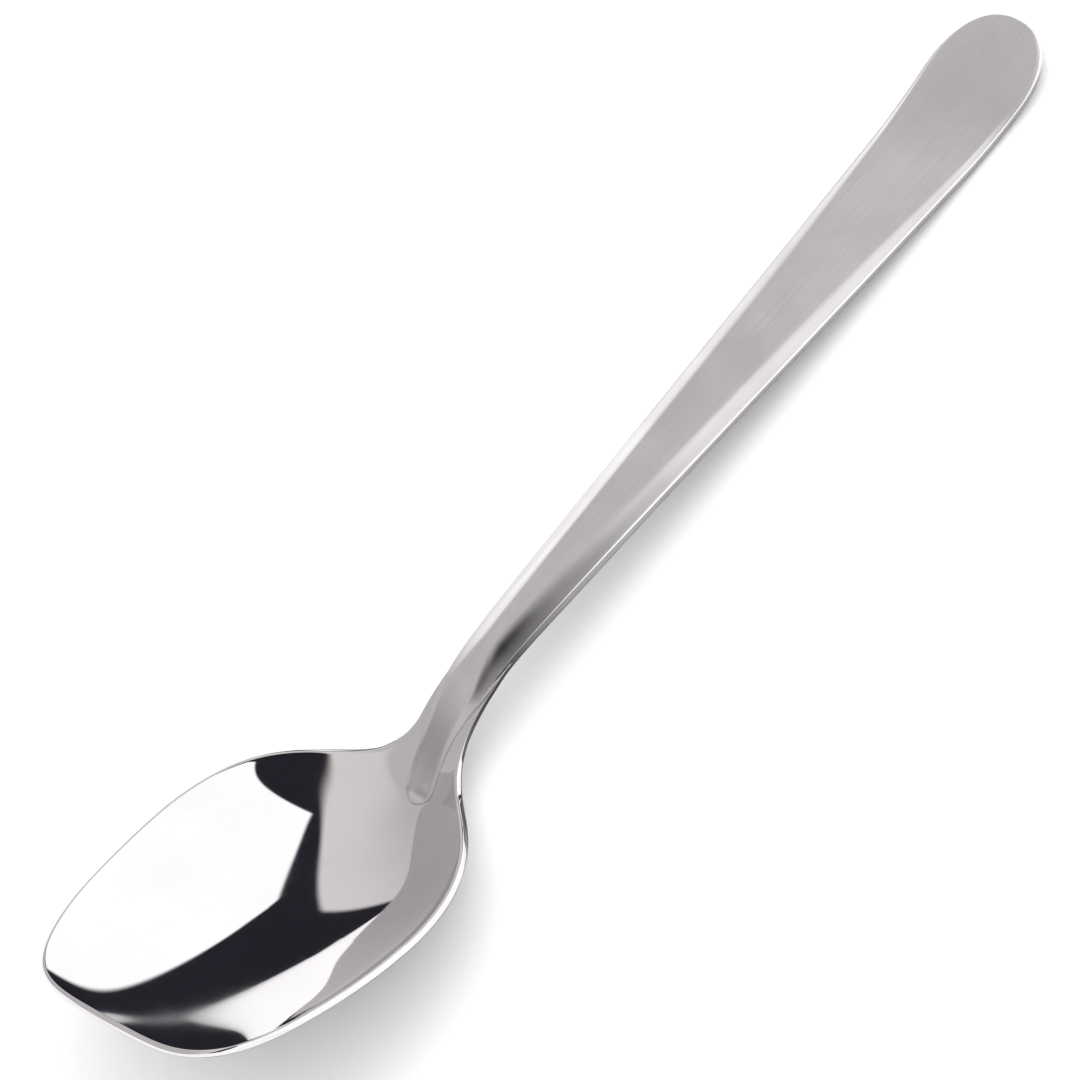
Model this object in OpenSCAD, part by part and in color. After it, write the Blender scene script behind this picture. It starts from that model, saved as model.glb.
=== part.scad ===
// Serving spoon with a blunt front
// The bowl is a pressed sheet whose tang runs up under the neck.
// The handle is a bar whose tongue lies on the back wall of the bowl and is brazed to the tang.
// Lengths are in millimetres. Lengths along the spoon are taken in the plane of the rim.
// The finished spoon lies as on a table: on the heel of the bowl and on the end of the handle.

/* [Spoon] */
// Length from the front edge to the end of the handle
spoon_len = 213.4; // [180:0.2:260]

/* [Bowl] */
// Length from the front edge to the foot of the neck
bowl_len = 78.7; // [70:0.1:90]
// Width across the rim at the widest place
bowl_w = 44.8; // [34:0.2:60]
// Distance of the widest place from the front edge
bowl_wide_at = 36.8; // [28:0.2:45]
// Depth of the floor below the rim
bowl_depth = 9; // [6:0.1:16]
// Distance of the deepest place from the front edge
bowl_deep_at = 49.2; // [36:0.2:58]
// How square the front is, where 2 is a plain ellipse
front_square = 4.6; // [2:0.1:6]
// How far the sides draw in towards the front, where 1 is a plain ellipse
front_draw = 1.6; // [1:0.05:2]
// How full the sides stay between the front and the widest place
side_full = 0.7; // [0:0.1:2]
// Distance from the front edge at which the shoulders would meet without a neck
shoulder_at = 72.1; // [66:0.1:80]
// How square the shoulders are, where 2 is a plain ellipse
shoulder_square = 1.2; // [0.9:0.05:2]
// How far the sides draw in towards the shoulders, where 1 is a plain ellipse
shoulder_draw = 1.65; // [1:0.05:2]
// Rounding between the shoulders and the neck
shoulder_fillet = 2; // [0.8:0.1:3]
// How far the rim dips between the front and the shoulders
rim_dip = 1.4; // [0:0.1:3]
// Distance of the lowest place of the rim from the front edge
rim_low_at = 26.5; // [22:0.5:38]
// How far the wings beside the neck dip below the rim
wing_dip = 2.8; // [0:0.1:4]
// Distance of the wings from the front edge
wing_at = 67; // [62:0.2:72]
// Length of the dip in the wings, to each side
wing_run = 5.2; // [3:0.1:8]
// Thickness of the pressed sheet
sheet_t = 1.2; // [0.8:0.1:2]

/* [Neck] */
// Width of the neck at its narrowest
neck_w = 7.1; // [6:0.1:10]
// Height that the neck gains in its bend
neck_rise = 10.7; // [8:0.1:16]
// Length over which the bend eases out
neck_ease = 5.6; // [5:0.1:11]
// How far before the foot of the neck its bend starts
bend_reach = 11; // [9:0.2:13]
// Depth of that start below the rim
bend_low = 5.7; // [3:0.1:8]
// How far the tongue reaches into the bowl from the foot of the neck
tongue_reach = 13.1; // [10:0.1:16]
// Width of the tongue
tongue_w = 4.6; // [3:0.1:5.6]
// Thickness of the tongue at its end
tongue_t = 0.45; // [0.3:0.05:0.8]
// Width of the bevel round the tongue
tongue_edge = 0.6; // [0.4:0.1:1.6]
// How far the tang runs up under the neck from its foot
tang_reach = 6.5; // [5:0.5:12]
// Thickness of the tang at its end
tang_t = 0.9; // [0.7:0.1:1.4]
// Gap that the braze fills between tongue and tang
braze_gap = 0.05; // [0.03:0.01:0.1]

/* [Handle] */
// Angle of the straight handle to the plane of the rim, in degrees
handle_rise = 14.3; // [8:0.1:22]
// Width of the handle where its round end starts
handle_w = 17.8; // [12:0.2:24]
// Length of the round end
end_len = 12; // [8:0.2:16]
// How square the round end is, where 2 is half an ellipse
end_square = 2.3; // [2:0.1:3]
// How far the end of the handle turns up
end_lift = 5.2; // [0:0.1:6]
// Length over which the end of the handle turns up
lift_len = 26; // [16:0.5:50]
// Height of the bar above the tang where the lap ends
neck_t = 2.2; // [1.6:0.1:3]
// Thickness of the bar at its round end
end_t = 2; // [1.6:0.1:3]
// Width of the bevels along the neck and the handle
bevel_w = 2.4; // [1.4:0.1:2.8]
// Width of the bevels at the round end
end_bevel_w = 0.8; // [0.5:0.1:2]
// Height of the bevels along the neck
neck_bevel = 1.2; // [0.6:0.1:1.4]
// Height of the bevels at the round end
end_bevel = 0.25; // [0.15:0.05:0.8]
// Height of the plain side face between bevel and underside
side_face = 1; // [0.6:0.1:1.2]

/* [Hidden] */
steel_bowl = "gainsboro";
steel_handle = "silver";
// Places along the spoon
bend_at = bowl_len - bend_reach;
tongue_at = bowl_len - tongue_reach;
flare_at = tongue_at + tongue_w;
lap_end = bowl_len + tang_reach;
round_at = spoon_len - end_len;
floor_run = lap_end - bowl_deep_at;
// Share of the end thickness that lies above the line of the seat
end_over = 0.7;
// Rounding of the bevels' inner edge, as a share of their width, and shape of the underside
bevel_soft = 0.16;
under_flat = 4;
// Roundings where the floor turns up into the neck, and where the rim does
floor_soft = 0.7;
rim_soft = 0.3;
// Length of the slanted step that the end of the tang lies against
step_len = 0.2;
// Grid: rows on the front, the back, the tongue, the bar and the round end, columns across, and spacing of the front
rows_front = 15;
rows_back = 20;
rows_tip = 6;
rows_lap = 22;
rows_bar = 16;
rows_end = 8;
cols_bowl = 28;
cols_bar = 24;
row_square = 4.2;
row_draw = 1.6;
step = 0.02;

// Rules for smooth joins
function soft_max(a, b, r) = (a + b) / 2 + sqrt(pow((a - b) / 2, 2) + r * r);
function ease(u) = let(c = min(max(u, 0), 1)) c * c * (3 - 2 * c);
function mix(a, b, u) = a + (b - a) * u;
// Share of the way from a middle place: -1 one length before it, 1 another length after it, with no kink between
function share(d, before, after) = let(k = (after - before) / (after + before)) d / (before * (1 + k) + k * d);

// Half width of the handle: an even taper, closed by a round end
function taper(x) = neck_w / 2 + (handle_w - neck_w) / 2 * max(0, x - bowl_len) / (round_at - bowl_len);
function end_round(x) = x < round_at ? 1 : pow(max(0, 1 - pow((x - round_at) / end_len, end_square)), 1 / end_square);

// Half width of the bowl: one smooth curve from the blunt front to the shoulders, with a fillet into the neck
function body_half(x) = let(
    q = max(-1, share(x - bowl_wide_at, bowl_wide_at, shoulder_at - bowl_wide_at)),
    w = ease((q + 1) / 2),
    draw = mix(front_draw, shoulder_draw, w),
    square = mix(front_square, shoulder_square, w) + 4 * side_full * max(0, -q) * (1 + q),
    t = 1 - q * q * (draw - (draw - 1) * abs(q)))
    bowl_w / 2 * sign(t) * pow(abs(t), 1 / square);
function fillet(x) = shoulder_fillet * ease((x - bowl_wide_at) / (bowl_len - bowl_wide_at))
    * (1 - ease((x - bowl_len) / tang_reach));
function bowl_half(x) = soft_max(body_half(x), taper(x), fillet(x));

// Half width of the tongue and of the bar that follows it
function tongue_round(x) = let(u = (x - tongue_at) / (tongue_w / 2))
    u >= 1 ? 1 : sqrt(max(0, 1 - pow(1 - u, 2)));
function tongue_half(x) = mix(tongue_w / 2, taper(x), ease((x - flare_at) / (bowl_len - flare_at)));
function bar_half(x) = tongue_half(x) * tongue_round(x) * end_round(x);

// Heights on the middle line: the floor, the neck and handle above it, and both in one line
function floor_line(x) = let(w = share(x - bowl_deep_at, bowl_deep_at, floor_run)) -bowl_depth * max(0, 1 - w * w);
function lift_line(x) = end_lift * pow(max(0, (x - spoon_len) / lift_len + 1), 2);
function neck_line(x) = let(d = x - bend_at)
    d * tan(handle_rise) - bend_low + neck_rise * (1 - exp(-d / neck_ease)) + lift_line(x);
function seat_line(x) = soft_max(floor_line(x), neck_line(x), floor_soft);
function rim_sweep(x) = -rim_dip * (1 - pow(x / rim_low_at - 1, 2))
    - wing_dip * exp(-pow((x - wing_at) / wing_run, 2));
function rim_line(x) = soft_max(rim_sweep(x), neck_line(x), rim_soft);

// Inner face of the bowl at a place along the spoon and a share of its half width
function bowl_z(x, v) = mix(seat_line(x), rim_line(x), v * v);
function bowl_face(x, v) = [x, v * bowl_half(x), bowl_z(x, v)];
function unit(p) = p / norm(p);
function bowl_normal(x, v) = let(
    along = bowl_face(x + step, v) - bowl_face(x - step, v),
    across = bowl_face(x, v + step) - bowl_face(x, v - step))
    unit(cross(along, across));
function sheet(x) = mix(sheet_t, tang_t, ease((x - tongue_at) / (lap_end - tongue_at)));
function bowl_under(x, v) = bowl_face(x, v) - sheet(x) * bowl_normal(x, v);

// Section of the bar, measured square to the line of the seat
function seat_normal(x) = unit([seat_line(x - step) - seat_line(x + step), 0, 2 * step]);
function along_lap(x) = ease((x - flare_at) / (lap_end - flare_at));
function along_bar(x) = (x - lap_end) / (spoon_len - lap_end);
function over_seat(x) = x < lap_end
    ? mix(tongue_t, neck_t, along_lap(x))
    : mix(neck_t, end_over * end_t, along_bar(x));
function under_seat(x) = mix(tang_t, (1 - end_over) * end_t, along_bar(x));
function bevel(x) = x < lap_end
    ? mix(tongue_t / 2, neck_bevel, along_lap(x))
    : mix(neck_bevel, end_bevel, along_bar(x));
function edge_w(x) = x < lap_end
    ? mix(tongue_edge, bevel_w, along_lap(x))
    : mix(bevel_w, end_bevel_w, ease((x - round_at + 4 * end_len) / (4 * end_len)));
function ramp(u) = (u + sqrt(u * u + bevel_soft * bevel_soft)) / (1 + sqrt(1 + bevel_soft * bevel_soft));
function top_over(x, v) = over_seat(x) - bevel(x) * ramp(1 - (1 - abs(v)) * bar_half(x) / edge_w(x));
function side_low(x) = max(over_seat(x) - bevel(x) - side_face, 0.1 - under_seat(x));
function low_under(x, v) = mix(-under_seat(x), side_low(x), pow(abs(v), under_flat));
// Line that the bar is measured from: over the tang it turns from the bowl's face into the level seat
function bar_seat(x, v) = x < lap_end
    ? mix(bowl_z(x, v * bar_half(x) / bowl_half(x)), seat_line(x), along_lap(x)) : seat_line(x);
function bar_point(x, v, h) = [x, v * bar_half(x), bar_seat(x, v)] + h * seat_normal(x);
function bar_top(x, v) = bar_point(x, v, top_over(x, v));
// Underside of the tongue: the face of the bowl below it, one braze gap away
function lap_under(x, v) = let(w = v * bar_half(x) / bowl_half(x))
    bowl_face(x, w) + braze_gap * bowl_normal(x, w);
function bar_under(x, v) = x <= lap_end + braze_gap ? lap_under(x, v) : bar_point(x, v, low_under(x, v));

// Rows along the spoon: close together where the outline turns
front_rows = [for (i = [3 : rows_front]) bowl_wide_at * (1 - pow(1 - pow(i / rows_front, row_square), 1 / row_draw))];
back_rows = [for (i = [1 : rows_back]) mix(bowl_wide_at, tongue_at, i / rows_back)];
tip_rows = [for (i = [1 : rows_tip]) tongue_at + tongue_w / 2 * (1 - cos(90 * i / rows_tip))];
lap_rows = [for (i = [1 : rows_lap]) mix(tongue_at + tongue_w / 2, lap_end, i / rows_lap)];
bowl_rows = concat(front_rows, back_rows, tip_rows, lap_rows);
bar_start = lap_end + braze_gap + step_len;
bar_rows = [for (i = [0 : rows_bar]) mix(bar_start, round_at, pow(i / rows_bar, 1.4))];
end_rows = [for (i = [1 : rows_end]) round_at + end_len * sin(86 * i / rows_end)];
handle_rows = concat(tip_rows, lap_rows, [lap_end + braze_gap], bar_rows, end_rows);

// Columns across: evenly over the bowl, closer together towards the edges of the bar
function column(j, n) = 2 * j / n - 1;
function bar_column(j, n) = sin(90 * column(j, n));
bowl_ring = [for (x = bowl_rows) concat(
    [for (j = [0 : cols_bowl]) bowl_face(x, column(j, cols_bowl))],
    [for (j = [cols_bowl : -1 : 0]) bowl_under(x, column(j, cols_bowl))])];
handle_ring = [for (x = handle_rows) concat(
    [for (j = [0 : cols_bar]) bar_top(x, bar_column(j, cols_bar))],
    [for (j = [cols_bar : -1 : 0]) bar_under(x, bar_column(j, cols_bar))])];

// The pose on the table: one line touches the heel of the bowl and the underside of the handle
heel_points = [for (x = concat(front_rows, back_rows)) bowl_under(x, 0)];
bar_points = [for (x = concat(bar_rows, end_rows)) bar_under(x, 0)];
tilt = max([for (a = heel_points) min([for (b = bar_points) atan2(b.z - a.z, b.x - a.x)])]);
function lie(p) = [p.x * cos(tilt) + p.z * sin(tilt), p.y, p.z * cos(tilt) - p.x * sin(tilt)];
bowl_laid = [for (r = bowl_ring) [for (p = r) lie(p)]];
handle_laid = [for (r = handle_ring) [for (p = r) lie(p)]];
all_x = [for (r = concat(bowl_laid, handle_laid)) for (p = r) p.x];
all_z = [for (r = concat(bowl_laid, handle_laid)) for (p = r) p.z];
origin = [(min(all_x) + max(all_x)) / 2, 0, min(all_z)];

// A closed solid through a row of rings, with a flat strip of faces across each end
module loft(rings) {
    n = len(rings[0]);
    m = len(rings);
    points = [for (r = rings) for (p = r) p - origin];
    walls = [for (i = [0 : m - 2]) for (k = [0 : n - 1]) let(
        a = i * n + k,
        b = i * n + (k + 1) % n)
        each [[a, b + n, a + n], [a, b, b + n]]];
    half = n / 2;
    last = (m - 1) * n;
    caps = [for (k = [0 : half - 2]) let(
        a = k,
        b = n - 1 - k)
        each [[a, b - 1, a + 1], [a, b, b - 1],
            [last + a, last + a + 1, last + b - 1], [last + a, last + b - 1, last + b]]];
    polyhedron(points, concat(walls, caps));
}

module bowl() {
    color(steel_bowl) loft(bowl_laid);
}

module handle() {
    color(steel_handle) loft(handle_laid);
}

bowl();
handle();
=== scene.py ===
"""Serving spoon: a mirror-polished pressed bowl with a buffed handle lapped onto its back wall.

The spoon is worked out in its own level frame, in metres: x runs from the front of the bowl (0) to the end of
the handle, y to the spoon's left, z up from the plane of the rim. lay_down() then turns it about y onto the
table, where it rests on the bowl and on the handle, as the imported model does.
"""
import math

import bmesh
import bpy
import numpy as np
from bpy.props import FloatProperty, FloatVectorProperty, PointerProperty
from mathutils import Matrix, Vector


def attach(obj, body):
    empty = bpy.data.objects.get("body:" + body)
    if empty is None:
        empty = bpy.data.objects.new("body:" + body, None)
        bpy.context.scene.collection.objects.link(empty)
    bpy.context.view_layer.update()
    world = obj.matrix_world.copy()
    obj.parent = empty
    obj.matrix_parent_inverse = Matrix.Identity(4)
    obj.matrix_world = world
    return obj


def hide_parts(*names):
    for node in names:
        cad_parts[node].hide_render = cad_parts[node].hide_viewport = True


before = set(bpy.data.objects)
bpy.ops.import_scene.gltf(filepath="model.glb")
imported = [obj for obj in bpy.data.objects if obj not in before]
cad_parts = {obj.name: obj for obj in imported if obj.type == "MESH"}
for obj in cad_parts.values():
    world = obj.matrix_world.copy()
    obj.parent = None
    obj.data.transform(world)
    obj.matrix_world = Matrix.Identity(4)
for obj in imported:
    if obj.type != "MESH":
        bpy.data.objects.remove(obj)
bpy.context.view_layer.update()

bl_info = {
    "name": "Serving Spoon",
    "version": (1, 0, 0),
    "blender": (4, 5, 0),
    "location": "3D View > Sidebar > Spoon",
    "description": "Builds a polished serving spoon and a small studio around it",
    "category": "Object",
}

MM = 0.001

# small fixed sizes of the shape rules
SEAT_FILLET = 0.7 * MM      # where the floor of the bowl runs up into the neck
RIM_FILLET = 0.3 * MM       # where the rim runs onto the neck
CURL_IN = 14 * MM           # run over which the curl of the rim grows in front
CURL_OUT = 12 * MM          # run over which it dies out towards the shoulders
END_OVER = 0.7              # share of the end's thickness over the seat
END_UNDER = 0.3             # share of it under the seat
BEVEL_GROWTH = 1.6          # power by which the bevels widen along the tang
LEAST_RISE = 0.1 * MM       # least rise of the bar's underside from its middle to its sides
TANG_EDGE = 0.06 * MM       # edge rounding of the bar over the tang
EDGE_RUN = 40 * MM          # run over which that grows to the handle's
SEAT_SINK = 0.02 * MM       # how far the tongue is set into the bowl's face, so that no light shows between them
SHARP_EDGE = 0.03 * MM      # edge rounding of the tang, which the bar covers
TINY = 1e-9                 # in metres: as good as no length, but keeps a division from meeting 0
MERGE = 2e-7                # in metres: points closer than this become one
SLIVER = 1e-8               # in metres: edges shorter than this and faces thinner than this are dissolved


def linear(hex_colour):
    """sRGB hex to linear RGB, by the sRGB curve."""
    c = np.array([int(hex_colour[i:i + 2], 16) for i in (1, 3, 5)]) / 255
    return tuple(float(v) for v in np.where(c <= 0.04045, c / 12.92, ((c + 0.055) / 1.055) ** 2.4))


def length(name, description, mm):
    """A length property that is given in millimetres and kept in metres."""
    return FloatProperty(name=name, description=description, default=mm * MM, unit="LENGTH", precision=5)


def number(name, description, value, **kind):
    """A plain number, such as an exponent or a share, or one of another kind by its unit or subtype."""
    return FloatProperty(name=name, description=description, default=value, precision=4, **kind)


def angle(name, description, degrees):
    """An angle property that is given in degrees and kept in radians."""
    return FloatProperty(name=name, description=description, default=math.radians(degrees), subtype="ANGLE",
                         unit="ROTATION")


def colour(name, description, hex_colour):
    """A colour property that is given as sRGB hex and kept linear."""
    return FloatVectorProperty(name=name, description=description, default=linear(hex_colour), size=3,
                               subtype="COLOR", min=0, max=1)


# ---------------------------------------------------------------- sizes

class SpoonBowlSizes(bpy.types.PropertyGroup):
    """Sizes of the pressed bowl."""
    bowl_len: length("Bowl length", "From the front edge to the root of the neck", 78.7)
    bowl_w: length("Bowl width", "Across the bowl at its widest place", 44.8)
    wide_at: length("Widest at", "From the front edge to the widest place", 36.8)
    depth: length("Depth", "From the plane of the rim to the deepest place", 9.0)
    deep_at: length("Deepest at", "From the front edge to the deepest place", 49.4)
    front_square: number("Front squareness", "How square the front of the outline is", 4.6)
    front_draw: number("Front draw", "How early the front leaves the widest place", 1.6)
    side_full: number("Side fullness", "How much fuller the outline is between front and middle", 0.7)
    shoulder_at: length("Shoulder ends at", "Where the shoulders would meet without the neck", 72.1)
    shoulder_square: number("Shoulder squareness", "How full the shoulders are", 1.2)
    shoulder_draw: number("Shoulder draw", "How early the shoulders leave the widest place", 1.65)
    shoulder_fillet: length("Shoulder fillet", "Softness of the corner between shoulder and neck", 2.0)
    rim_dip: length("Rim dip", "How far the rim sweeps down between its ends", 1.4)
    rim_low_at: length("Rim lowest at", "From the front edge to the lowest place of the rim", 26.5)
    wing_dip: length("Wing dip", "How far the rim drops where it runs onto the neck", 2.8)
    wing_at: length("Wing dip at", "From the front edge to the middle of that drop", 67.0)
    wing_run: length("Wing dip run", "Half length of that drop", 7.0)
    lip: number("Shoulder lip", "How much the wall steepens close to the rim of the shoulders", 0.109)
    lip_from: length("Lip from", "From the front edge to where that starts", 35.8)
    lip_to: length("Lip to", "From the front edge to where it is in full", 62.0)
    curl: length("Curl", "How far the rim curls up along the sides", 0.60)
    curl_from: length("Curl from", "Where along the bowl the curl begins", 6.0)
    curl_to: length("Curl to", "Where along the bowl the curl ends", 62.0)
    sheet: length("Sheet", "Thickness of the pressed sheet", 1.2)
    rim_edge: length("Rim edge rounding", "Radius of the polished edges of the rim", 0.40)
    lie_turn: angle("Lie turn", "Angle about y at which the spoon rests on its bowl and handle", 19.4934)
    lie_back: length("Lie back", "How far back the front edge is from the middle of the box", 108.191)
    lie_up: length("Lie up", "How far the front edge is over the table", 29.995)


class SpoonHandleSizes(bpy.types.PropertyGroup):
    """Sizes of the neck and handle bar."""
    spoon_len: length("Spoon length", "From the front edge to the end of the handle, along x", 213.36)
    neck_w: length("Neck width", "Width of the bar where it leaves the bowl", 7.1)
    neck_rise: length("Neck rise", "How far the neck climbs out of the bowl", 10.7)
    neck_ease: length("Neck ease", "Run over which that climb dies out", 5.6)
    bend_reach: length("Bend reach", "How far before the root of the neck its bend starts", 11.0)
    bend_low: length("Bend low", "How far that start is below the plane of the rim", 5.7)
    tongue_reach: length("Tongue reach", "How far the tongue lies on the back wall", 13.1)
    tongue_w: length("Tongue width", "Width of the round-ended tongue", 4.6)
    tongue_t: length("Tongue thickness", "How far the tongue stands over the wall at its tip", 0.45)
    tongue_edge: length("Tongue edge", "Width of the tongue's sloping edge", 0.6)
    tang_reach: length("Tang reach", "How far the bowl's tang runs under the neck", 6.5)
    tang_t: length("Tang thickness", "Thickness of the tang at its end", 0.9)
    rise: angle("Handle rise", "Slope of the handle against the plane of the rim", 14.3)
    handle_w: length("Handle width", "Width of the handle before its round end", 17.8)
    end_len: length("End length", "Length of the round end", 12.0)
    end_square: number("End squareness", "2 is an ellipse, more is squarer", 2.3)
    end_lift: length("End lift", "How far the last part of the handle lifts", 5.2)
    lift_len: length("Lift length", "Length of that part", 26.0)
    neck_t: length("Neck height", "Height of the bar over the tang at the neck", 2.2)
    end_t: length("End thickness", "Thickness of the handle at its end", 2.0)
    bevel_w: length("Bevel width", "Width of the sloping faces along the handle", 2.4)
    end_bevel_w: length("End bevel width", "Width of the sloping face at the end", 0.8)
    neck_bevel: length("Neck bevel", "Drop of the sloping faces at the neck", 1.35)
    end_bevel: length("End bevel", "Drop of the sloping face at the end", 0.25)
    bevel_soft: number("Bevel softness", "Rounding of the bevels' inner edge, as a share of their width", 0.38,
                       subtype="FACTOR")
    neck_soft: number("Neck softness", "The same at the neck, whose top is crowned", 0.55, subtype="FACTOR")
    soft_run: length("Neck softness run", "Length over which the crown of the neck flattens out", 22.0)
    side_face: length("Side face", "Height of the upright sides", 1.0)
    neck_side: length("Neck side", "How much taller the upright sides are at the neck", 0.65)
    neck_side_run: length("Neck side run", "Length over which they come down to the handle's", 24.0)
    edge: length("Edge rounding", "Radius of the buffed edges", 0.45)


class SpoonFinish(bpy.types.PropertyGroup):
    """Colours and smoothness of the steel."""
    bowl_steel: colour("Bowl steel", "Colour of the polished steel", "#e3e2e3")
    bowl_shade: colour("Bowl shade", "Colour of the polished steel where it is clouded", "#dddbdc")
    bowl_mark: colour("Bowl marks", "Colour in the wheel marks of the polished steel", "#d8d7d8")
    handle_steel: colour("Handle steel", "Colour of the buffed steel", "#e9e8e9")
    handle_shade: colour("Handle shade", "Colour of the buffed steel in its darker patches", "#e0dddd")
    handle_mark: colour("Handle lines", "Colour in the buffing lines", "#dddbdb")
    handle_scuff: colour("Handle scuffs", "Colour in the scuffs", "#cac8c9")
    bowl_rough: number("Bowl roughness", "Roughness of the mirror polish", 0.03, subtype="FACTOR")
    handle_rough: number("Handle roughness", "Roughness of the buffed finish", 0.07, subtype="FACTOR")


class SpoonStudio(bpy.types.PropertyGroup):
    """Table, light and camera."""
    table: colour("Table", "Colour of the table top", "#f4f4f4")
    ceiling: colour("Ceiling", "Colour of the grey ceiling over the table", "#d1cece")
    gap: colour("Gap", "Colour of the unlit room between the lamp screen and the ceiling", "#2a2830")
    screen_power: number("Screen power", "Brightness of the white screen to the right of the camera", 1.34)
    ceiling_power: number("Ceiling power", "Brightness of the ceiling", 0.93)
    ceiling_edge: number("Ceiling edge power", "Brightness of the ceiling along its edge over the lamp screen", 1.28)
    lamp_power: number("Lamp power", "Of the soft lamp over the table", 19.0, unit="POWER")
    fill_power: number("Fill power", "Of the lamp opposite, which lightens the shadow", 15.0, unit="POWER")
    left_strip_power: number("Left strip power", "Of the strip lamp that the left bevel mirrors", 0.43, unit="POWER")
    right_strip_power: number("Right strip power", "Of the strip lamp that the right bevel mirrors", 0.095,
                              unit="POWER")
    bend_flag_power: number("Bend flag power", "What this dark flag takes from what the neck's bend mirrors", 0.0140,
                            unit="POWER")
    neck_flag_power: number("Neck flag power", "What this dark flag takes from what the neck's right bevel mirrors",
                            0.0098, unit="POWER")
    tongue_flag_power: number("Tongue flag power", "What this dark flag takes from what the tongue mirrors", 0.40,
                              unit="POWER")
    # the dark card is a painted shadow that only reflections show; these set its colour and its reach
    card: colour("Card", "Colour of the dark card under the spoon", "#19191d")
    card_margin: length("Card margin", "How far the dark card reaches past the spoon", 16.0)
    card_neck: length("Card at the neck", "How much farther it reaches beside the neck", 14.0)
    card_left: length("Card on the left", "How much farther it reaches on the left of the handle", 14.0)
    cam_turn: angle("Camera turn", "Direction of the camera round the table, from +X", -127.2009)
    cam_height: angle("Camera height", "Elevation of the camera over the table", 52.7857)
    cam_roll: angle("Camera roll", "Turn of the camera about its own axis", -20.4197)
    cam_far: length("Camera distance", "From the camera to the point it aims at", 870.0)
    cam_aim: FloatVectorProperty(name="Camera aim", description="Point that the camera aims at",
                                 default=(-0.00652, 0.00596, 0.00888), size=3, subtype="XYZ", unit="LENGTH")
    cam_lens: number("Focal length", "In millimetres, on a 36 mm sensor", 200.776, unit="CAMERA")


# ---------------------------------------------------------------- shape rules

def mix(a, b, u):
    """Straight blend from a to b."""
    return a + (b - a) * u


def ease(u):
    """Smooth step from 0 to 1 with level ends."""
    c = np.clip(u, 0, 1)
    return c * c * (3 - 2 * c)


def soft_max(a, b, r):
    """Larger of a and b, with the corner between them rounded by a hyperbola of size r."""
    return (a + b) / 2 + np.sqrt(((a - b) / 2) ** 2 + r * r)


def share(d, before, after):
    """Smooth rule that is -1 at -before, 0 at 0 and 1 at after: a ratio of two straight lines, without a kink at 0."""
    k = (after - before) / (after + before)
    return d / (before * (1 + k) + k * d)


def unit(v):
    """Vectors along the last axis, scaled to length 1."""
    return v / np.linalg.norm(v, axis=-1, keepdims=True)


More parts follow.
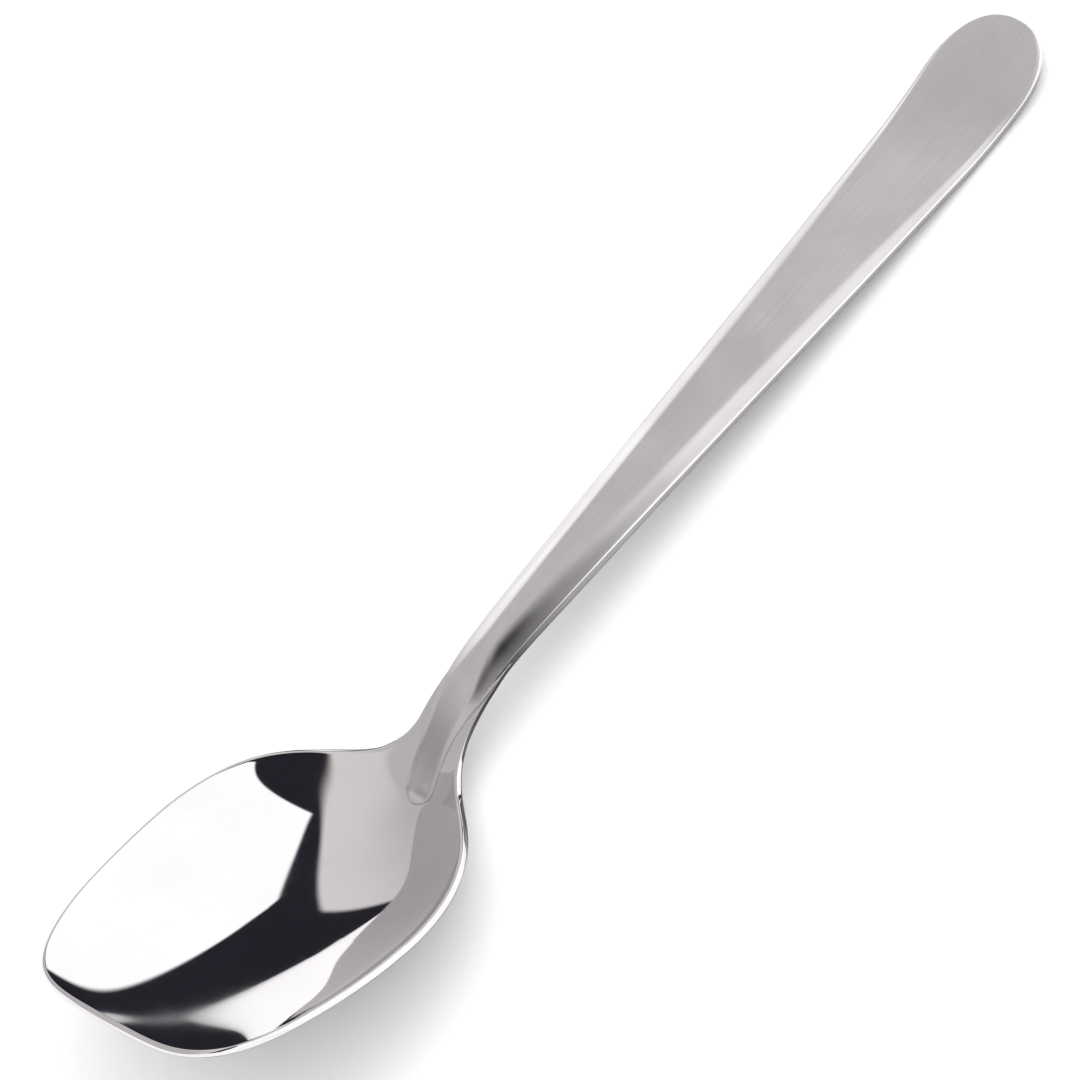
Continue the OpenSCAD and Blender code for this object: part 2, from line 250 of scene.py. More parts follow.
class SpoonShape:
    """Widths and heights of the spoon as functions of x, from the named sizes."""

    def __init__(self, bowl, handle):
        self.b, self.h = bowl, handle
        self.tongue_at = bowl.bowl_len - handle.tongue_reach
        self.lap_end = bowl.bowl_len + handle.tang_reach
        self.round_at = handle.spoon_len - handle.end_len
        self.flare_at = self.tongue_at + handle.tongue_w

    # outline
    def taper(self, x):
        """Half width of the bar: constant over the bowl, then widening evenly to the round end."""
        h, root = self.h, self.b.bowl_len
        return h.neck_w / 2 + (h.handle_w - h.neck_w) / 2 * np.maximum(0, x - root) / (self.round_at - root)

    def body_half(self, x):
        """Half width of the bowl body: a blunt power curve in front that turns into a drawn-out shoulder.

        Between the two a parabola that reaches 1 half way adds side_full to the power, so the sides are fuller.
        """
        b = self.b
        q = np.maximum(-1, share(x - b.wide_at, b.wide_at, b.shoulder_at - b.wide_at))
        w = ease((q + 1) / 2)
        draw = mix(b.front_draw, b.shoulder_draw, w)
        square = mix(b.front_square, b.shoulder_square, w) + 4 * b.side_full * np.maximum(0, -q) * (1 + q)
        t = 1 - q * q * (draw - (draw - 1) * np.abs(q))
        return b.bowl_w / 2 * np.sign(t) * np.abs(t) ** (1 / square)

    def bowl_half(self, x):
        """Half width of bowl and tang: the larger of body and neck, with a fillet between shoulder and neck."""
        b, h = self.b, self.h
        before = ease((x - b.wide_at) / (b.bowl_len - b.wide_at))
        after = 1 - ease((x - b.bowl_len) / h.tang_reach)
        return soft_max(self.body_half(x), self.taper(x), b.shoulder_fillet * before * after)

    def bar_half(self, x):
        """Half width of tongue, neck and handle, with a half-round tip and a superellipse at the end."""
        h = self.h
        u = np.clip((x - self.tongue_at) / (h.tongue_w / 2), 0, 1)
        tip = np.sqrt(np.maximum(0, 1 - (1 - u) ** 2))
        wide = mix(h.tongue_w / 2, self.taper(x), ease((x - self.flare_at) / (self.b.bowl_len - self.flare_at)))
        e = np.clip((x - self.round_at) / h.end_len, 0, 1)
        return wide * tip * (1 - e ** h.end_square) ** (1 / h.end_square)

    # heights
    def floor_line(self, x):
        """Height of the bowl's floor: a parabola that is skewed to be deepest at deep_at."""
        b = self.b
        w = share(x - b.deep_at, b.deep_at, self.lap_end - b.deep_at)
        return -b.depth * np.maximum(0, 1 - w * w)

    def neck_line(self, x):
        """Height of the bar's seat: a rising straight line, an exponential climb at the neck and a lifted end."""
        h = self.h
        d = x - self.b.bowl_len + h.bend_reach
        lift = h.end_lift * np.maximum(0, (x - h.spoon_len) / h.lift_len + 1) ** 2
        return d * math.tan(h.rise) - h.bend_low + h.neck_rise * (1 - np.exp(-d / h.neck_ease)) + lift

    def seat_line(self, x):
        """Height of the surface along the middle of bowl and tang: the higher of floor and neck, with a fillet."""
        return soft_max(self.floor_line(x), self.neck_line(x), SEAT_FILLET)

    def rim_line(self, x):
        """Height of the rim: a shallow parabola with a drop at the wings, running onto the neck."""
        b = self.b
        sweep = -b.rim_dip * (1 - (x / b.rim_low_at - 1) ** 2)
        wing = b.wing_dip * np.exp(-((x - b.wing_at) / b.wing_run) ** 2)
        return soft_max(sweep - wing, self.neck_line(x), RIM_FILLET)

    def bowl_height(self, x, y):
        """Height of the bowl's upper face: a parabola across, from the seat in the middle to the rim.

        Towards the shoulders a share of the eighth power of y comes in, so the wall steepens close to the rim. Along
        the sides, from curl_from to curl_to, the rim curls up by the sixteenth power of y.
        """
        b, u = self.b, (y / self.bowl_half(x)) ** 2
        lip = b.lip * ease((x - b.lip_from) / (b.lip_to - b.lip_from))
        curl = b.curl * ease((x - b.curl_from) / CURL_IN) * (1 - ease((x - b.curl_to + CURL_OUT) / CURL_OUT))
        return mix(self.seat_line(x), self.rim_line(x), mix(u, u ** 4, lip)) + curl * u ** 8

    def bowl_normal(self, x, y):
        """Upward unit normal of that face, by central differences."""
        d = 0.005 * MM
        dx = (self.bowl_height(x + d, y) - self.bowl_height(x - d, y)) / (2 * d)
        dy = (self.bowl_height(x, y + d) - self.bowl_height(x, y - d)) / (2 * d)
        return unit(np.stack([-dx, -dy, np.ones_like(dx)], -1))

    def sheet(self, x):
        """Thickness of the sheet, thinner along the tang."""
        return mix(self.b.sheet, self.h.tang_t, ease((x - self.tongue_at) / (self.lap_end - self.tongue_at)))

    def lap_share(self, x):
        """0 along the tongue, 1 where the tang ends."""
        return ease((x - self.flare_at) / (self.lap_end - self.flare_at))

    def bar_share(self, x):
        """0 where the tang ends, 1 at the end of the handle."""
        return np.clip((x - self.lap_end) / (self.h.spoon_len - self.lap_end), 0, 1)

    def bar_section(self, x):
        """Height of the bar's flat top over its seat, drop of its sloping faces, and their width.

        Height and drop go smoothly from the tongue to the end of the tang, and from there evenly to the end of the
        handle. The width keeps even along the handle, and narrows towards the round end over four times its length.
        """
        h, lap, bar, on_tang = self.h, self.lap_share(x), self.bar_share(x), x < self.lap_end
        narrow = 4 * h.end_len
        over = np.where(on_tang, mix(h.tongue_t, h.neck_t, lap), mix(h.neck_t, END_OVER * h.end_t, bar))
        drop = np.where(on_tang, mix(h.tongue_t / 2, h.neck_bevel, lap), mix(h.neck_bevel, h.end_bevel, bar))
        wide = np.where(on_tang, mix(h.tongue_edge, h.bevel_w, lap ** BEVEL_GROWTH),
                        mix(h.bevel_w, h.end_bevel_w, ease((x - self.round_at + narrow) / narrow)))
        return over, drop, wide

    def bar_over(self, x, y):
        """Height of the bar's top over its seat: flat, with sloping faces along both sides.

        Flat and slope meet in a hyperbola, which is wider at the neck, so the neck is crowned.
        """
        h = self.h
        over, drop, wide = self.bar_section(x)
        u = 1 - (self.bar_half(x) - np.abs(y)) / wide
        soft = mix(h.bevel_soft, h.neck_soft, np.exp(-((x - self.lap_end) / h.soft_run) ** 2))
        return over - drop * (u + np.sqrt(u * u + soft * soft)) / (1 + np.sqrt(1 + soft * soft))

    def bar_under(self, x, y):
        """Height of the bar's underside under its seat: flat, rising to the sides with the fourth power of y.

        The upright sides between slope and underside are tallest at the neck, for a third of neck_side_run, and come
        down from there along a bell curve.
        """
        h = self.h
        over, drop, _ = self.bar_section(x)
        under = mix(h.tang_t, END_UNDER * h.end_t, self.bar_share(x))
        past = np.maximum(0, x - self.lap_end - h.neck_side_run / 3)
        side = h.side_face + h.neck_side * np.exp(-(past / h.neck_side_run) ** 2)
        low = np.maximum(over - drop - side, LEAST_RISE - under)
        return mix(-under, low, np.minimum(1, np.abs(y) / np.maximum(self.bar_half(x), TINY)) ** 4)

    def seat_normal(self, x):
        """Unit normal of the seat line, in the plane of x and z."""
        d = 0.02 * MM
        slope = (self.seat_line(x + d) - self.seat_line(x - d)) / (2 * d)
        return unit(np.stack([-slope, np.zeros_like(x), np.ones_like(x)], -1))

    def bar_point(self, x, y, over):
        """Point at x, y and a height over the seat, measured square to it.

        Over the tang the seat turns from the bowl's own face into a level line across.
        """
        seat = mix(self.bowl_height(x, y), self.seat_line(x), np.where(x < self.lap_end, self.lap_share(x), 1))
        return np.stack([x, y, seat], -1) + over[..., None] * self.seat_normal(x)

    def lay_down(self, p):
        """Turns points about y by the resting angle and shifts them onto the table."""
        b = self.b
        c, s = math.cos(b.lie_turn), math.sin(b.lie_turn)
        return np.stack([p[..., 0] * c + p[..., 2] * s - b.lie_back, p[..., 1],
                         p[..., 2] * c - p[..., 0] * s + b.lie_up], -1)


# ---------------------------------------------------------------- meshes

def ring_faces(rows, cols):
    """Quads of a grid whose columns close into rings."""
    i, j = np.meshgrid(np.arange(rows - 1), np.arange(cols), indexing="ij")
    k = (j + 1) % cols
    return np.stack([i * cols + j, i * cols + k, (i + 1) * cols + k, (i + 1) * cols + j], -1).reshape(-1, 4)


def sheet_faces(rows, cols, start):
    """Quads of an open grid whose points begin at index start."""
    i, j = np.meshgrid(np.arange(rows - 1), np.arange(cols - 1), indexing="ij")
    first = i * cols + j
    return start + np.stack([first, first + 1, first + cols + 1, first + cols], -1).reshape(-1, 4)


def crowded(count, crowd):
    """Numbers from -1 to 1 that lie closer towards both ends: that share of a half sine wave, stretched to fit."""
    return np.sin(np.linspace(-1, 1, count) * math.pi / 2 * crowd) / math.sin(math.pi / 2 * crowd)


def outward(x, y):
    """Unit normals of an outline in plan, on its left side, from differences along the outline."""
    t = np.stack([np.gradient(x), np.gradient(y)], -1)
    return unit(np.stack([-t[:, 1], t[:, 0]], -1))


def write_piece(name, points, faces, material, node):
    """Puts points and faces into a mesh, merges what meets, turns faces outwards and hangs it on the frame."""
    mesh = bpy.data.meshes.new(name)
    mesh.from_pydata(points.tolist(), [], [f.tolist() for f in faces])
    work = bmesh.new()
    work.from_mesh(mesh)
    bmesh.ops.remove_doubles(work, verts=work.verts, dist=MERGE)
    bmesh.ops.dissolve_degenerate(work, edges=work.edges, dist=SLIVER)
    bmesh.ops.recalc_face_normals(work, faces=work.faces)
    loose = sum(not e.is_manifold for e in work.edges)
    if loose:
        raise RuntimeError(f"{name}: {loose} open edges")
    if work.calc_volume(signed=True) < 0:
        bmesh.ops.reverse_faces(work, faces=work.faces)
    work.to_mesh(mesh)
    work.free()
    mesh.shade_smooth()
    mesh.materials.append(material)
    piece = bpy.data.objects.new(name, mesh)
    bpy.context.scene.collection.objects.link(piece)
    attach(piece, "root")
    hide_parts(node)


def bowl_points(shape):
    """Rings round the pressed sheet, row by row from the front edge to the end of the tang.

    Each ring runs over the upper face, round the left rim, back under the sheet and round the right rim. The upper
    face is the height rule on rows of constant x; the under face is set off along the normals by the sheet; the
    rim is two quarter rounds with a ground flat between them. The straight front gets the same rim as a strip.
    """
    b = shape.b
    # rows lie close together round the blunt front, by a power curve like the outline's own, and at the shoulders
    front_start, front_square, front_draw = 0.16, 4.2, 1.6
    shoulder, root = 60 * MM, 78 * MM
    u = np.linspace(front_start, 1, 110)
    x = np.concatenate([b.wide_at * (1 - (1 - u ** front_square) ** (1 / front_draw)),
                        np.linspace(b.wide_at, shoulder, 66)[1:],
                        np.linspace(shoulder, root, 100)[1:],
                        np.linspace(root, shape.lap_end, 20)[1:]])
    half = np.where(x < b.wide_at, shape.body_half(x), shape.bowl_half(x))
    out = outward(x, half)
    # from here on the bar covers the edges of the tang, so they get sharp
    covered_from, covered_run = 70 * MM, 5 * MM
    edge = mix(b.rim_edge, SHARP_EDGE, ease((x - covered_from) / covered_run))
    xin, yin = x - edge * out[:, 0], half - edge * out[:, 1]
    s = crowded(97, 0.8)
    gx, gy = np.broadcast_arrays(xin[:, None], yin[:, None] * s)
    face = np.stack([gx, gy, shape.bowl_height(gx, gy)], -1)
    normal = shape.bowl_normal(gx, gy)
    thick = shape.sheet(gx)[..., None]
    under = face - thick * normal

    turn = np.linspace(0, math.pi / 2, 7)

    def rim(at, n, o, r, t):
        """Points round the edge of the sheet, from just below the upper face to just above the under face.

        The edge starts at the points at, with normals n and outward directions o; r is its rounding, t the sheet.
        """
        o = unit(o - n * np.sum(o * n, -1, keepdims=True))
        at, n, o = at[:, None], n[:, None], o[:, None]
        r, t = r[:, None, None], t[:, None]
        a = turn[None, :, None]
        top = at - r * n + r * (o * np.sin(a) + n * np.cos(a))
        low = at - (t - r) * n + r * (o * np.cos(a) - n * np.sin(a))
        return np.concatenate([top[:, 1:], low[:, :-1]], 1)

    flat = np.zeros(len(x))
    left = rim(face[:, -1], normal[:, -1], np.stack([out[:, 0], out[:, 1], flat], -1), edge, thick[:, -1])
    right = rim(face[:, 0], normal[:, 0], np.stack([out[:, 0], -out[:, 1], flat], -1), edge, thick[:, 0])
    rings = np.concatenate([face, left, under[:, ::-1], right[:, ::-1]], 1)
    rows, cols = rings.shape[:2]
    # the straight front, as a strip whose outward direction swings from the right corner to the left
    swing = mix(np.array([out[0, 0], -out[0, 1], 0]), np.array([out[0, 0], out[0, 1], 0]), (s[:, None] + 1) / 2)
    strip = rim(face[0], normal[0], swing, np.full(len(s), edge[0]), thick[0])
    front = np.concatenate([face[0][:, None], strip, under[0][:, None]], 1)
    faces = list(ring_faces(rows, cols)) + list(sheet_faces(*front.shape[:2], rows * cols))
    # the end of the tang: quads between the two faces, and one polygon at each rim
    span, edge_span, last = len(s), left.shape[1], (rows - 1) * cols
    far = 2 * span + edge_span - 1
    i = np.arange(span - 1)
    faces += list(last + np.stack([i, i + 1, far - 1 - i, far - i], -1))
    faces += [last + np.arange(span - 1, span + edge_span + 1), last + np.concatenate([np.arange(far, cols), [0]])]
    return np.concatenate([rings.reshape(-1, 3), front.reshape(-1, 3)]), faces


def handle_points(shape):
    """Rings round the bar, row by row from the tip of the tongue to the end of the handle.

    Each ring runs over the top, down the left side, back along the underside and up the right side. Top and sides
    meet in a small quarter round that follows the outline, also round the tip and the end. Over the tang the
    underside is the bowl's own upper face, sunk into it by a hair; after the tang it is the bar's own.
    """
    h = shape.h
    a = np.linspace(0, math.pi / 2, 26)
    tip = shape.tongue_at + h.tongue_w / 2 * (1 - np.cos(a))
    end = shape.round_at + h.end_len * np.sin(a) ** (2 / h.end_square)
    # two rows close behind the end of the tang, between which the underside steps down to the bar's own
    step = shape.lap_end + np.array([0.02, 0.06]) * MM
    x = np.concatenate([tip, np.linspace(tip[-1], shape.lap_end, 96)[1:], step,
                        np.linspace(step[-1], shape.round_at, 90)[1:], end[1:]])
    half = shape.bar_half(x)
    half[0] = half[-1] = 0
    out = outward(x, half)
    out[0], out[-1] = (-1, 0), (1, 0)
    edge = mix(TANG_EDGE, h.edge, ease((x - shape.lap_end) / EDGE_RUN))
    s = crowded(73, 0.85)
    xin, yin = x - edge * out[:, 0], np.maximum(0, half - edge * out[:, 1])
    gx, gy = np.broadcast_arrays(xin[:, None], yin[:, None] * s)
    top = shape.bar_point(gx, gy, shape.bar_over(gx, gy))

    on_tang = x <= step[0] + TINY
    bx, by = np.broadcast_arrays(x[:, None], half[:, None] * s)
    lap = np.stack([bx, by, shape.bowl_height(bx, by)], -1) - SEAT_SINK * shape.bowl_normal(bx, by)
    lx, ly = np.broadcast_arrays(np.where(on_tang, x, xin)[:, None], np.where(on_tang, half, yin)[:, None] * s)
    own = shape.bar_point(lx, ly, shape.bar_under(lx, ly))
    # the feet of the sides; the last row of the underside shrinks to the foot at the very end
    brim = shape.bar_under(x, np.maximum(half, TINY))
    own[-1] = shape.bar_point(x, 0 * x, brim)[-1]
    under = np.where(on_tang[:, None, None], lap, own)

    turn = np.linspace(0, math.pi / 2, 6)[1:]
    drop = np.linspace(0, 1, 5)[1:-1]

    def side(sign, under_end):
        """Points down one side: the quarter round at the top edge, then evenly down to the underside."""
        r = edge[:, None]
        ix = x[:, None] - r * (1 - np.sin(turn)) * out[:, :1]
        iy = np.maximum(0, half[:, None] - r * (1 - np.sin(turn)) * out[:, 1:])
        high = shape.bar_over(xin, yin)[:, None] - r * (1 - np.cos(turn))
        arc = shape.bar_point(ix, sign * iy, high)
        foot = np.where(on_tang[:, None], under_end, shape.bar_point(x, sign * half, brim))
        run = mix(arc[:, -1:], foot[:, None], drop[None, :, None])
        return np.concatenate([arc, run, foot[:, None]], 1)

    left, right = side(1, under[:, -1]), side(-1, under[:, 0])
    rings = np.concatenate([top, left, under[:, ::-1], right[:, ::-1]], 1)
    return rings.reshape(-1, 3), list(ring_faces(*rings.shape[:2]))


# ---------------------------------------------------------------- finishes

# sockets of a Mix node that mixes colours, which share their names with its other sockets
MIX_A, MIX_B, MIXED = 6, 7, 2


def add_node(tree, kind, links=None, values=None, **settings):
    """Adds a node with its settings, socket values and links from other nodes' outputs."""
    node = tree.nodes.new(kind)
    for key, value in settings.items():
        setattr(node, key, value)
    for key, value in (values or {}).items():
        node.inputs[key].default_value = value
    for key, source in (links or {}).items():
        tree.links.new(source, node.inputs[key])
    return node


def new_material(name):
    """An empty node material with its output and its shader."""
    material = bpy.data.materials.new(name)
    material.use_nodes = True
    tree = material.node_tree
    tree.nodes.clear()
    shader = add_node(tree, "ShaderNodeBsdfPrincipled")
    add_node(tree, "ShaderNodeOutputMaterial", {"Surface": shader.outputs["BSDF"]})
    return material, tree, shader


def steel(name, base, layers, haze, rough):
    """Bare stainless steel whose colour takes one tint after another, each where a noise pattern is strong.

    A layer is its pattern, the pattern's values from and up to which the tint comes in, and the tint. A pattern is
    its length along the spoon and its width in metres, and its detail. The pattern haze takes the roughness from
    the first to the second value of rough.
    """
    material, tree, shader = new_material(name)
    shader.inputs["Metallic"].default_value = 1.0
    place = add_node(tree, "ShaderNodeTexCoord")

    def drawn(along, across, detail):
        """The noise of a pattern, from 0 to 1, stretched to spots or streaks of its size."""
        sized = add_node(tree, "ShaderNodeVectorMath", {0: place.outputs["Object"]},
                         {1: (1 / along, 1 / across, 1 / along)}, operation="MULTIPLY")
        noise = add_node(tree, "ShaderNodeTexNoise", {"Vector": sized.outputs["Vector"]},
                         {"Scale": 1.0, "Detail": detail})
        return noise.outputs["Fac"]

    tone = None
    for pattern, start, full, tint in layers:
        amount = add_node(tree, "ShaderNodeMapRange", {"Value": drawn(*pattern)},
                          {"From Min": start, "From Max": full})
        links, values = {0: amount.outputs["Result"]}, {MIX_B: (*tint, 1)}
        if tone is None:
            values[MIX_A] = (*base, 1)
        else:
            links[MIX_A] = tone
        tone = add_node(tree, "ShaderNodeMix", links, values, data_type="RGBA").outputs[MIXED]
    tree.links.new(tone, shader.inputs["Base Color"])
    clear, hazy = 0.3, 0.75
    cloudy = add_node(tree, "ShaderNodeMapRange", {"Value": drawn(*haze)},
                      {"From Min": clear, "From Max": hazy, "To Min": rough[0], "To Max": rough[1]})
    tree.links.new(cloudy.outputs["Result"], shader.inputs["Roughness"])
    return material


def mirror_polished_stainless(finish):
    """Stainless steel, mirror polished on a soft wheel: crisp reflections, a breath of haze, hair-fine wheel marks."""
    rough = finish.bowl_rough
    return steel("mirror_polished_stainless_steel", finish.bowl_steel, (
        # faint cloudy tone, about a centimetre wide, as left by wiping
        ((14 * MM, 14 * MM, 3), 0.35, 0.7, finish.bowl_shade),
        # real wheel marks are under 0.05 mm wide; they are drawn 0.3 mm wide so that they show at all
        ((16 * MM, 0.3 * MM, 2), 0.66, 0.8, finish.bowl_mark),
    ), haze=(9 * MM, 9 * MM, 3), rough=(0.6 * rough, 1.6 * rough))


def buffed_stainless(finish):
    """Stainless steel, buffed along the handle: soft reflections, fine lines lengthwise, faint scuffs from use."""
    rough = finish.handle_rough
    return steel("buffed_stainless_steel", finish.handle_steel, (
        # broad lighter and darker patches, about a centimetre wide, as left by buffing by hand
        ((11 * MM, 11 * MM, 4), 0.36, 0.66, finish.handle_shade),
        # real buffing lines are under 0.05 mm wide; they are drawn 0.35 mm wide so that they show at all
        ((30 * MM, 0.35 * MM, 3), 0.5, 0.85, finish.handle_mark),
        # a few short scuffs, half a millimetre wide
        ((3.5 * MM, 0.7 * MM, 4), 0.72, 0.8, finish.handle_scuff),
    ), haze=(6 * MM, 6 * MM, 4), rough=(0.8 * rough, 1.4 * rough))


def matt_table(studio):
    """Painted table top: plain, pale and matt, so it gives soft shadows and no highlights."""
    material, _, shader = new_material("matt_white_table")
    shader.inputs["Base Color"].default_value = (*studio.table, 1)
    shader.inputs["Roughness"].default_value = 0.9
    shader.inputs["Specular IOR Level"].default_value = 0.0
    return material


def painted_shadow_card(studio):
    """Painted shadow: a black card that gives mirrored rays a soft-edged dark ground in place of the spoon's contact
    shadow, and is clear where it has faded out.
    """
    material, tree, shader = new_material("black_painted_shadow_card")
    shader.inputs["Base Color"].default_value = (*studio.card, 1)
    shader.inputs["Roughness"].default_value = 1.0
    shader.inputs["Specular IOR Level"].default_value = 0.0
    # the attribute dark is the strength of the painted shadow, used as the card's alpha
    dark = add_node(tree, "ShaderNodeAttribute", attribute_name="dark")
    tree.links.new(dark.outputs["Fac"], shader.inputs["Alpha"])
    return material


# ---------------------------------------------------------------- operators

def toward(turn, up):
    """Unit vector towards an azimuth from +X and an elevation, both in radians."""
    return Vector((math.cos(up) * math.cos(turn), math.cos(up) * math.sin(turn), math.sin(up)))


def facing(target, way, far):
    """Place of a lamp or camera that looks back at its target from a distance far along the unit vector way."""
    return Matrix.Translation(target + way * far) @ way.to_track_quat("Z", "Y").to_matrix().to_4x4()


class SPOON_OT_bowl(bpy.types.Operator):
    """Press the bowl with its tang"""
    bl_idname = "spoon.bowl"
    bl_label = "Bowl"
    bl_options = {"REGISTER", "UNDO"}

    def execute(self, context):
        scene = context.scene
        shape = SpoonShape(scene.spoon_bowl, scene.spoon_handle)
        points, faces = bowl_points(shape)
        write_piece("pressed_bowl", shape.lay_down(points), faces, mirror_polished_stainless(scene.spoon_finish),
                    "bowl")
        return {"FINISHED"}


class SPOON_OT_handle(bpy.types.Operator):
    """Form the neck and handle with the tongue that lies on the bowl's back wall"""
    bl_idname = "spoon.handle"
    bl_label = "Handle"
    bl_options = {"REGISTER", "UNDO"}

    def execute(self, context):
        scene = context.scene
        shape = SpoonShape(scene.spoon_bowl, scene.spoon_handle)
        points, faces = handle_points(shape)
        write_piece("handle_bar", shape.lay_down(points), faces, buffed_stainless(scene.spoon_finish),
                    "handle")
        return {"FINISHED"}


class SPOON_OT_studio(bpy.types.Operator):
    """Set up the table, the light and the camera"""
    bl_idname = "spoon.studio"
    bl_label = "Studio"
    bl_options = {"REGISTER", "UNDO"}

    def execute(self, context):
        scene = context.scene
        studio = scene.spoon_studio
        self.lay_table(scene, studio)
        self.lay_painted_shadow(scene, studio)
        self.light_room(scene, studio)
        self.hang_lamps(scene, studio)
        self.aim_camera(scene, studio)
        # no tone curve, so that the white screen and the table come out white
        scene.view_settings.view_transform = "Standard"
        return {"FINISHED"}

    def lay_table(self, scene, studio):
        """A flat round table top, as one disc: points on a circle at even angles."""
        radius, sides = 4.0, 96
        a = np.linspace(0, 2 * math.pi, sides, endpoint=False)
        ring = np.stack([radius * np.cos(a), radius * np.sin(a), np.zeros_like(a)], -1)
        mesh = bpy.data.meshes.new("table_top")
        mesh.from_pydata(ring.tolist(), [], [list(range(sides))])
        mesh.materials.append(matt_table(studio))
        table = bpy.data.objects.new("table_top", mesh)
        scene.collection.objects.link(table)

    def lay_painted_shadow(self, scene, studio):
        """A painted shadow under the spoon: a dark card that only mirrored rays see, in place of its contact shadow on
        the table, so the polished edges get their dark lines.

        Rows of constant x, each as wide as the spoon plus a margin, over which the dark fades out. The margin grows
        along a bell curve beside the neck, and on the left of the handle. The dark itself has a strength for the
        bowl and one for each side of the handle, and the bell curve adds to it on the right of the neck.
        """
        shape = SpoonShape(scene.spoon_bowl, scene.spoon_handle)
        past, spoon_len = studio.card_margin, shape.h.spoon_len
        # strengths of the painted shadow; neck_dark is extra painted shade to the right of the neck, where its shadow
        # would lie on the table
        bowl_dark, left_dark, right_dark, neck_dark = 0.75, 0.9, 0.55, 0.38
        tip, bend_run, side_run = 3 * MM, 15 * MM, 20 * MM
        sides_from, left_from = 55 * MM, 110 * MM
        fade, lift = 0.4, 0.2 * MM
        x = np.linspace(-past, spoon_len + past, 190)[:, None]
        v = np.linspace(-1, 1, 61)
        on = np.clip(x, tip, spoon_len - tip)
        half = np.where(x < shape.b.bowl_len, shape.bowl_half(on), shape.bar_half(on))
        bend = np.exp(-((x - shape.lap_end) / bend_run) ** 2)
        margin = past + studio.card_neck * bend + studio.card_left * ease((x - left_from) / side_run) * (v > 0)
        reach = half + margin
        flat = shape.lay_down(np.stack(np.broadcast_arrays(x, reach * v, 0.0 * v), -1))
        flat[..., 2] = lift
        mesh = bpy.data.meshes.new("painted_shadow_card")
        mesh.from_pydata(flat.reshape(-1, 3).tolist(), [], sheet_faces(len(x), len(v), 0).tolist())
        strength = mix(bowl_dark, np.where(v > 0, left_dark, right_dark), ease((x - sides_from) / side_run))
        strength = strength + neck_dark * bend * (v < 0)
        ends = np.minimum(1, 1 - np.maximum(-x, x - spoon_len) / past)
        inner = np.minimum((1 - np.abs(v)) * reach / margin, ends)
        # strength of the painted shadow at each point of the card
        dark = mesh.attributes.new("dark", "FLOAT", "POINT")
        dark.data.foreach_set("value", (strength * ease(inner / fade)).ravel())
        mesh.materials.append(painted_shadow_card(studio))
        card = bpy.data.objects.new("painted_shadow_card", mesh)
        # the painted shadow is hidden from the camera and from light, so that only reflections show it
        card.visible_camera = card.visible_diffuse = card.visible_shadow = False
        scene.collection.objects.link(card)

    def light_room(self, scene, studio):
        """A white screen to the right, a grey ceiling and an unlit gap between them, as zones of the world.

        Each edge is the plane through the spoon and a straight edge in the room: a direction is inside where its
        dot product with the plane's normal is positive, with a narrow soft border. The ceiling is brightest at its
        edge over the screen and falls off smoothly from there.
        """
        screen_edges, screen_soft = [(0.533, -0.621, -0.575), (0.721, -0.337, -0.606), (0.470, -0.863, -0.184)], 0.006
        ceiling_edges, ceiling_soft = [(-0.609, 0.548, 0.573), (-0.491, 0.309, 0.815)], 0.01
        glow_reach = 0.42
        world = bpy.data.worlds.new("studio_room")
        world.use_nodes = True
        tree = world.node_tree
        tree.nodes.clear()
        place = add_node(tree, "ShaderNodeTexCoord")

        def inside(normals, soft):
            """1 where the direction lies inside all planes, 0 outside, soft at the border."""
            result = None
            for n in normals:
                dot = add_node(tree, "ShaderNodeVectorMath", {0: place.outputs["Generated"]},
                               {1: tuple(unit(np.array(n, float)))}, operation="DOT_PRODUCT")
                edge = add_node(tree, "ShaderNodeMapRange", {"Value": dot.outputs["Value"]},
                                {"From Min": -soft, "From Max": soft}, interpolation_type="SMOOTHSTEP")
                result = edge.outputs["Result"] if result is None else add_node(
                    tree, "ShaderNodeMath", {0: result, 1: edge.outputs["Result"]}, operation="MULTIPLY").outputs[0]
            return result

        height = add_node(tree, "ShaderNodeVectorMath", {0: place.outputs["Generated"]}, {1: ceiling_edges[0]},
                          operation="DOT_PRODUCT")
        glow = add_node(tree, "ShaderNodeMapRange", {"Value": height.outputs["Value"]},
                        {"From Min": 0.0, "From Max": glow_reach, "To Min": studio.ceiling_edge,
                         "To Max": studio.ceiling_power}, interpolation_type="SMOOTHSTEP")
        grey = add_node(tree, "ShaderNodeVectorMath", {"Scale": glow.outputs["Result"]},
                        {0: tuple(studio.ceiling)}, operation="SCALE")
        dim = add_node(tree, "ShaderNodeMix", {0: inside(ceiling_edges, ceiling_soft), MIX_B: grey.outputs["Vector"]},
                       {MIX_A: (*studio.gap, 1)}, data_type="RGBA")
        lit = add_node(tree, "ShaderNodeMix", {0: inside(screen_edges, screen_soft), MIX_A: dim.outputs[MIXED]},
                       {MIX_B: (studio.screen_power,) * 3 + (1,)}, data_type="RGBA")
        back = add_node(tree, "ShaderNodeBackground", {"Color": lit.outputs[MIXED]})
        add_node(tree, "ShaderNodeOutputWorld", {"Surface": back.outputs["Background"]})
        scene.world = world

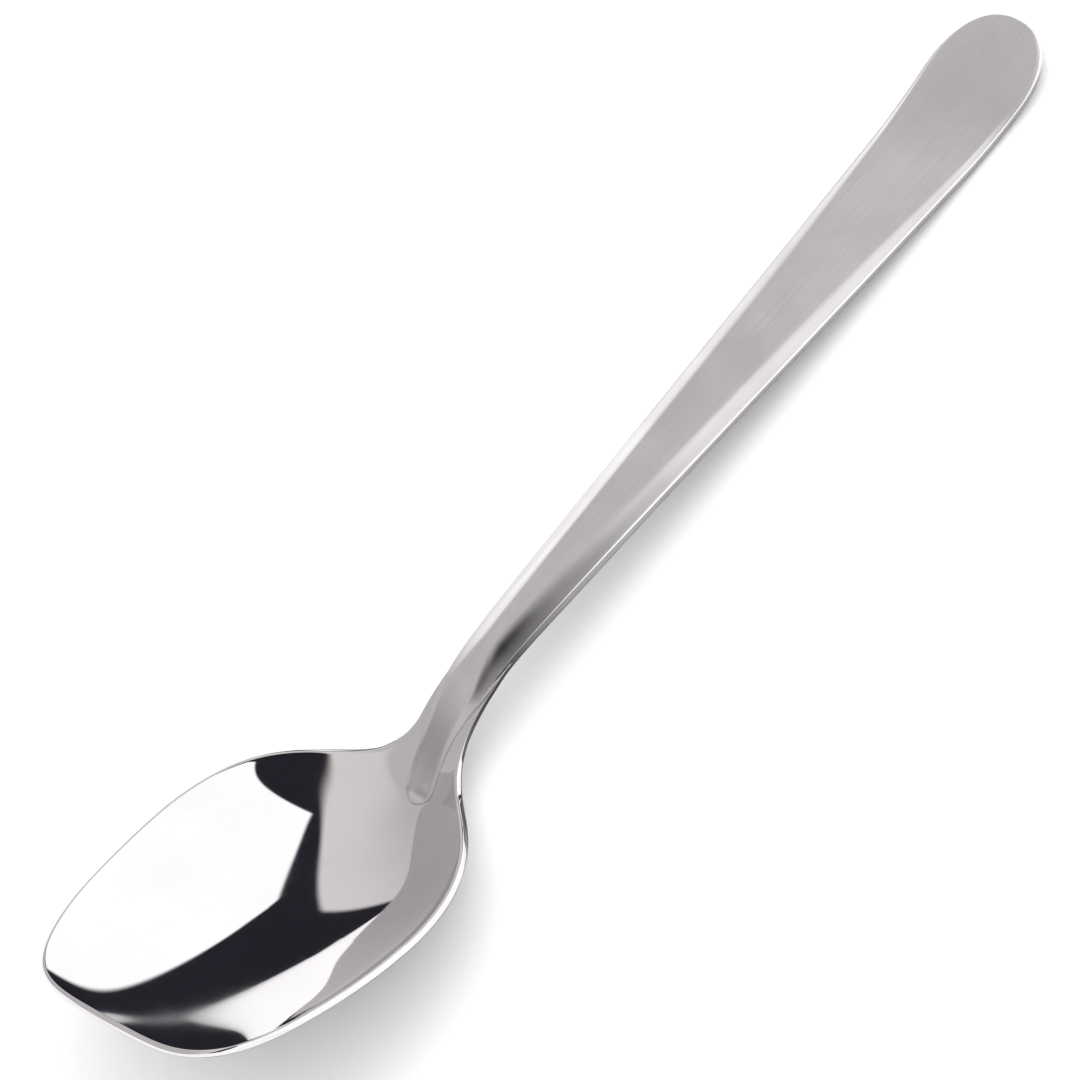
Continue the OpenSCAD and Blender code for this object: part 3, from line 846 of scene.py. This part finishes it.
    def hang_lamps(self, scene, studio):
        """Two broad lamps that nothing mirrors, and soft-edged strips and dark flags that light the handle alone.

        A flag is a lamp of negative power in the ceiling's tint: it takes away what the steel mirrors there.
        """
        middle, broad_far, broad = Vector(), 1.6, (2.4, 2.4)
        for name, way, power in (("soft_lamp", (-108, 72), studio.lamp_power),
                                 ("fill_lamp", (72, 62), studio.fill_power)):
            self.hang_lamp(scene, name, middle, way, broad_far, broad, power).visible_glossy = False
        handle_only = bpy.data.collections.new("lit_by_strips")
        handle_only.objects.link(bpy.data.objects["handle_bar"])
        grip, bend = Vector((0.03, 0, 0.005)), Vector((-0.030, 0, 0.009))
        neck, tongue = Vector((-0.020, 0, 0.011)), Vector((-0.042, 0, 0.010))
        for name, target, way, far, size, power in (
                ("left_strip", grip, (64, 15), 0.7, (0.66, 0.36), studio.left_strip_power),
                ("right_strip", grip, (0, 57), 0.7, (0.36, 0.28), studio.right_strip_power),
                ("bend_flag", bend, (-74, 72), 0.09, (0.100, 0.100), -studio.bend_flag_power),
                ("neck_flag", neck, (-20, 60), 0.09, (0.084, 0.074), -studio.neck_flag_power),
                ("tongue_flag", tongue, (138, 32), 0.7, (0.78, 0.78), -studio.tongue_flag_power)):
            strip = self.hang_lamp(scene, name, target, way, far, size, power)
            if power < 0:
                strip.data.color = np.array(studio.ceiling) / max(studio.ceiling)
            self.soften(strip.data)
            strip.visible_camera = False
            strip.light_linking.receiver_collection = handle_only

    def hang_lamp(self, scene, name, target, way, far, size, power):
        """A flat rectangular lamp that faces its target, from a direction of azimuth and elevation in degrees."""
        lamp = bpy.data.lights.new(name, "AREA")
        lamp.shape = "RECTANGLE"
        lamp.size, lamp.size_y = size
        lamp.energy = power
        piece = bpy.data.objects.new(name, lamp)
        piece.matrix_world = facing(target, toward(*(math.radians(v) for v in way)), far)
        scene.collection.objects.link(piece)
        return piece

    def soften(self, lamp):
        """Fades a lamp towards its borders by the product of two half sine waves across its face."""
        lamp.use_nodes = True
        tree = lamp.node_tree
        tree.nodes.clear()
        face = add_node(tree, "ShaderNodeNewGeometry")
        across = add_node(tree, "ShaderNodeVectorMath", {0: face.outputs["Parametric"]}, {1: (math.pi,) * 3},
                          operation="MULTIPLY")
        wave = add_node(tree, "ShaderNodeVectorMath", {0: across.outputs["Vector"]}, operation="SINE")
        axis = add_node(tree, "ShaderNodeSeparateXYZ", {"Vector": wave.outputs["Vector"]})
        glow = add_node(tree, "ShaderNodeMath", {0: axis.outputs["X"], 1: axis.outputs["Y"]}, operation="MULTIPLY")
        shine = add_node(tree, "ShaderNodeEmission", {"Strength": glow.outputs["Value"]})
        add_node(tree, "ShaderNodeOutputLight", {"Surface": shine.outputs["Emission"]})

    def aim_camera(self, scene, studio):
        """A long lens at the photograph's angle: direction by turn and height, then a roll about its own axis."""
        camera = bpy.data.cameras.new("camera")
        camera.sensor_width = 36
        camera.lens = studio.cam_lens
        camera.clip_end = 20
        piece = bpy.data.objects.new("camera", camera)
        scene.collection.objects.link(piece)
        way = toward(studio.cam_turn, studio.cam_height)
        piece.matrix_world = (facing(Vector(studio.cam_aim), way, studio.cam_far)
                              @ Matrix.Rotation(studio.cam_roll, 4, "Z"))
        scene.camera = piece


class SPOON_PT_build(bpy.types.Panel):
    """Lists the spoon's pieces and the studio"""
    bl_label = "Serving Spoon"
    bl_idname = "SPOON_PT_build"
    bl_space_type = "VIEW_3D"
    bl_region_type = "UI"
    bl_category = "Spoon"

    def draw(self, context):
        for operator in OPERATORS:
            self.layout.operator(operator.bl_idname)


GROUPS = {"spoon_bowl": SpoonBowlSizes, "spoon_handle": SpoonHandleSizes, "spoon_finish": SpoonFinish,
          "spoon_studio": SpoonStudio}
OPERATORS = (SPOON_OT_bowl, SPOON_OT_handle, SPOON_OT_studio)


def register():
    for cls in (*GROUPS.values(), *OPERATORS, SPOON_PT_build):
        bpy.utils.register_class(cls)
    for name, cls in GROUPS.items():
        setattr(bpy.types.Scene, name, PointerProperty(type=cls))


def unregister():
    for name in GROUPS:
        delattr(bpy.types.Scene, name)
    for cls in (SPOON_PT_build, *reversed(OPERATORS), *reversed(GROUPS.values())):
        bpy.utils.unregister_class(cls)


def main():
    register()
    bpy.ops.spoon.bowl()
    bpy.ops.spoon.handle()
    bpy.ops.spoon.studio()


if __name__ == "__main__":
    main()
